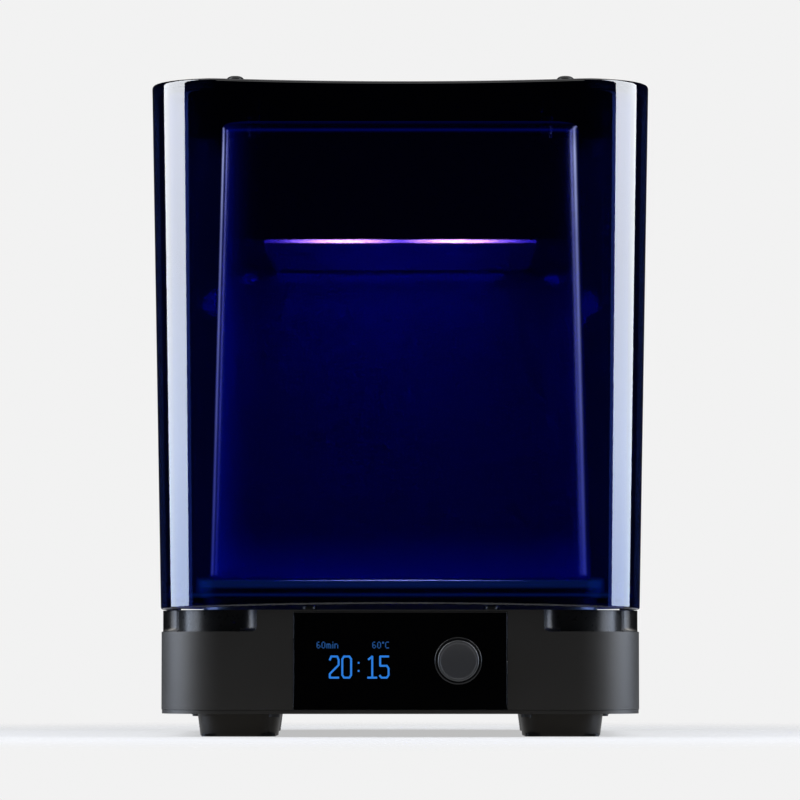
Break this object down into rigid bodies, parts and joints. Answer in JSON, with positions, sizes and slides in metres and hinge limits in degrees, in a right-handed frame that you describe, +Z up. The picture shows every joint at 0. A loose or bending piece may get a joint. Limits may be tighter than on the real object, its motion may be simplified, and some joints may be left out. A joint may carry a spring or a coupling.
{
  "type": "uv curing lamp",
  "caption": "Desktop UV curing lamp: squat base with dial and display, turntable, and a tinted double-walled hood with lamp head that tips back.",
  "frame": {"origin": "on the table, under the middle of the footprint", "axes": "+Z up, front with the dial facing -Y, +X to the viewer's right when facing the front"},
  "size_m": [0.2632, 0.2632, 0.3463],
  "materials": {
    "shell_charcoal": "fine matte texture",
    "pan_black": "satin black paint",
    "foot_plastic": "matte",
    "pad_rubber": "matte",
    "panel_gloss": "polished black",
    "dial_black": "satin",
    "dial_trim": "gloss",
    "display_glass": "dark display glass",
    "board_green": "solder mask",
    "board_white": "white solder mask",
    "parts_mixed": "moulded components",
    "steel_plain": "zinc plated",
    "shaft_steel": "ground",
    "deck_metal": "bright reflector finish",
    "sink_aluminium": "extruded",
    "window_clear": "clear window",
    "lens_violet": "frosted diffuser, glowing violet",
    "emitter_violet": "glowing emitter",
    "motor_steel": "plated can",
    "hub_plastic": "moulded",
    "table_clear": "clear acrylic",
    "fan_black": "moulded",
    "heater_metal": "anodised",
    "duct_grey": "moulded",
    "socket_black": "moulded",
    "hood_blue": "deep blue tinted, polished",
    "liner_blue": "deep blue tinted, polished",
    "seal_grey": "soft",
    "rubber_black": "soft",
    "shroud_dark": "satin",
    "screw_dark": "black oxide"
  },
  "bodies": {
    "base": {"base_shell": "shell_charcoal", "base_tray": "pan_black", "feet": "foot_plastic", "foot_pads": "pad_rubber", "foot_screws": "steel_plain", "tray_screws": "steel_plain", "front_panel": "panel_gloss", "dial_bezel": "dial_trim", "display_module": "display_glass", "control_board": "board_green", "board_standoffs": "steel_plain", "encoder_body": "motor_steel", "chamber_deck": "deck_metal", "deck_screws": "steel_plain", "lower_led_board": "board_white", "lower_leds": "emitter_violet", "lower_windows": "window_clear", "lower_heatsink": "sink_aluminium", "turntable_motor": "motor_steel", "motor_bracket": "steel_plain", "motor_screws": "steel_plain", "warm_fan_frame": "fan_black", "air_heater": "heater_metal", "warm_duct": "duct_grey", "temperature_probe": "shaft_steel", "exhaust_fan_frame": "fan_black", "fan_screws": "steel_plain", "power_board": "board_green", "power_components": "parts_mixed", "power_inlet": "socket_black", "service_port": "steel_plain", "hinge_brackets": "steel_plain", "hinge_screws": "steel_plain", "hinge_pins": "shaft_steel", "rim_bumpers": "rubber_black", "hood_sensor": "parts_mixed", "hood_seal": "seal_grey"},
    "hood": {"hood_shell": "hood_blue", "hood_liner": "liner_blue", "hood_caps": "rubber_black", "hood_magnet": "shaft_steel", "hinge_arms": "steel_plain", "lamp_shroud": "shroud_dark", "lamp_lens": "lens_violet", "upper_led_board": "board_white", "upper_leds": "emitter_violet", "upper_heatsink": "sink_aluminium", "lamp_standoffs": "steel_plain", "lamp_screws": "screw_dark", "shroud_screws": "screw_dark", "liner_screws": "steel_plain"},
    "turntable": {"motor_shaft": "shaft_steel", "turntable_hub": "hub_plastic", "turntable_plate": "table_clear"},
    "warm_rotor": {"warm_fan_rotor": "fan_black"},
    "exhaust_rotor": {"exhaust_fan_rotor": "fan_black"},
    "dial_push": {"encoder_plunger": "hub_plastic"},
    "dial": {"encoder_shaft": "shaft_steel", "dial_cap": "dial_black"}
  },
  "joints": [
    {"name": "hood_hinge", "type": "hinge", "parent": "base", "child": "hood", "pos_m": [0, 0.1195, 0.061], "axis": [-1, 0, 0], "range_deg": [0, 50]},
    {"name": "turntable_spin", "type": "hinge", "parent": "base", "child": "turntable", "pos_m": [0, 0, 0.06], "axis": [0, 0, 1], "continuous": true},
    {"name": "warm_fan_spin", "type": "hinge", "parent": "base", "child": "warm_rotor", "pos_m": [-0.084, -0.084, 0.033], "axis": [0, 0, 1], "continuous": true},
    {"name": "exhaust_fan_spin", "type": "hinge", "parent": "base", "child": "exhaust_rotor", "pos_m": [0, 0.1169, 0.038], "axis": [0, 1, 0], "continuous": true},
    {"name": "dial_press", "type": "slide", "parent": "base", "child": "dial_push", "axis": [0, 1, 0], "range_m": [0, 0.0008], "stiffness_N_per_m": 3000, "springref_m": -0.0004},
    {"name": "dial_turn", "type": "hinge", "parent": "dial_push", "child": "dial", "pos_m": [0.0302, -0.12, 0.0396], "axis": [0, 1, 0], "continuous": true}
  ]
}
